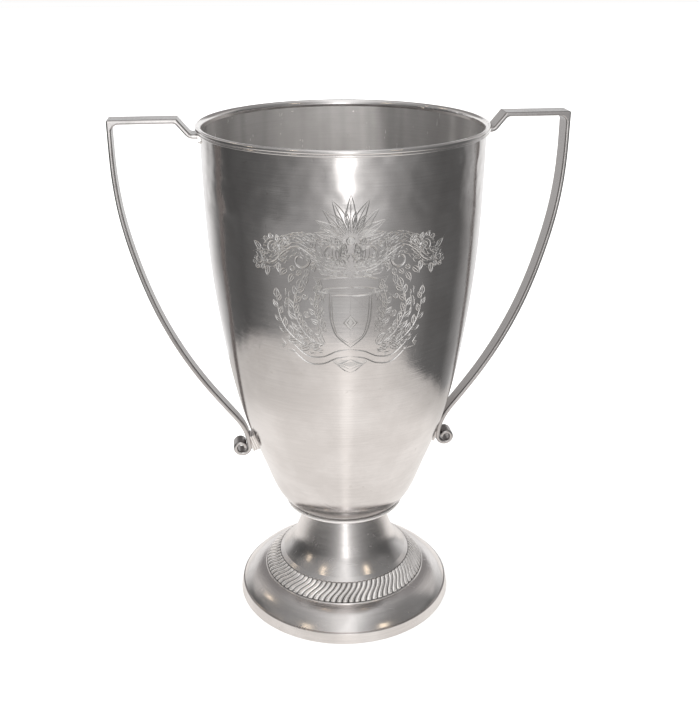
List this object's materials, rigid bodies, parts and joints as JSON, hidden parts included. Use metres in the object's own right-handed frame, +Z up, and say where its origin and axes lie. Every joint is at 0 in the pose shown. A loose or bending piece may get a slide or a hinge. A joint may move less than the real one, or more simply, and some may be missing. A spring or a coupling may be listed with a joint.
{
  "type": "cup trophy",
  "caption": "Two-handled presentation cup: deep spun bowl on a trumpet neck and stepped round foot with a gadrooned band, square-cornered strap handles with curled ends.",
  "frame": {"origin": "on the floor at the centre of the round foot", "axes": "+Z up along the axis of the bowl; X through the two handles; Y front to back"},
  "size_m": [0.2776, 0.177, 0.331],
  "materials": {
    "bowl": "polished pewter or silver plate, fine spin lines",
    "foot": "polished, fine spin lines",
    "gadroon": "polished lobes, darkened valleys",
    "trim": "bright polished wire",
    "handle": "polished strap, worn edges",
    "inner": "dull unpolished sheet",
    "fixing": "plain steel"
  },
  "bodies": {
    "root": {"foot_band": "foot", "foot_dome": "foot", "gadroon_wire": "trim", "gadroon_band": "gadroon", "neck": "foot", "collar": "trim", "bowl": "bowl", "rim_lip": "trim", "rim_bead": "trim", "bowl_disc": "inner", "stud": "fixing", "foot_plate": "inner", "washer": "fixing", "nut": "fixing", "handle_left": "handle", "handle_right": "handle", "rim_pad_left": "trim", "rim_pad_right": "trim", "scroll_pad_left": "trim", "scroll_pad_right": "trim"}
  },
  "joints": []
}
